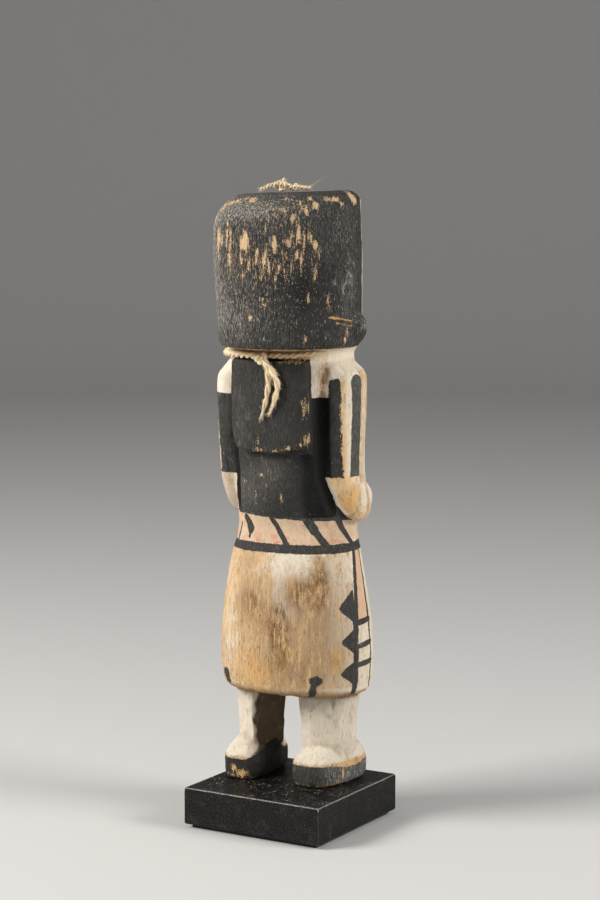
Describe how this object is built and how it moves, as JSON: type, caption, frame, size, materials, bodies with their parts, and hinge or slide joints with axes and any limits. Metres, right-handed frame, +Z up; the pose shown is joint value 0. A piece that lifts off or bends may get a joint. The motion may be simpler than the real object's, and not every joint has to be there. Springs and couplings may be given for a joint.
{
  "type": "kachina doll",
  "caption": "Carved and painted wooden katsina figure in a black case mask, with a hair panel, a string round the neck and a banded kilt, standing on a square black plinth.",
  "frame": {"origin": "centre of the base's underside", "axes": "+Z up; the plinth's sides run along X and Y, and the figure faces -Y, turned 5 degrees to its left"},
  "size_m": [0.0618, 0.06, 0.2498],
  "materials": {
    "painted_wood": "matt worn mineral paint over bare wood",
    "twine": "aged cotton string",
    "black_lacquer": "satin black lacquer",
    "felt": "matt felt"
  },
  "bodies": {
    "root": {"figure": "painted_wood", "neck_string": "twine", "crown_tie": "twine", "plinth": "black_lacquer", "felt_pad": "felt"}
  },
  "joints": []
}
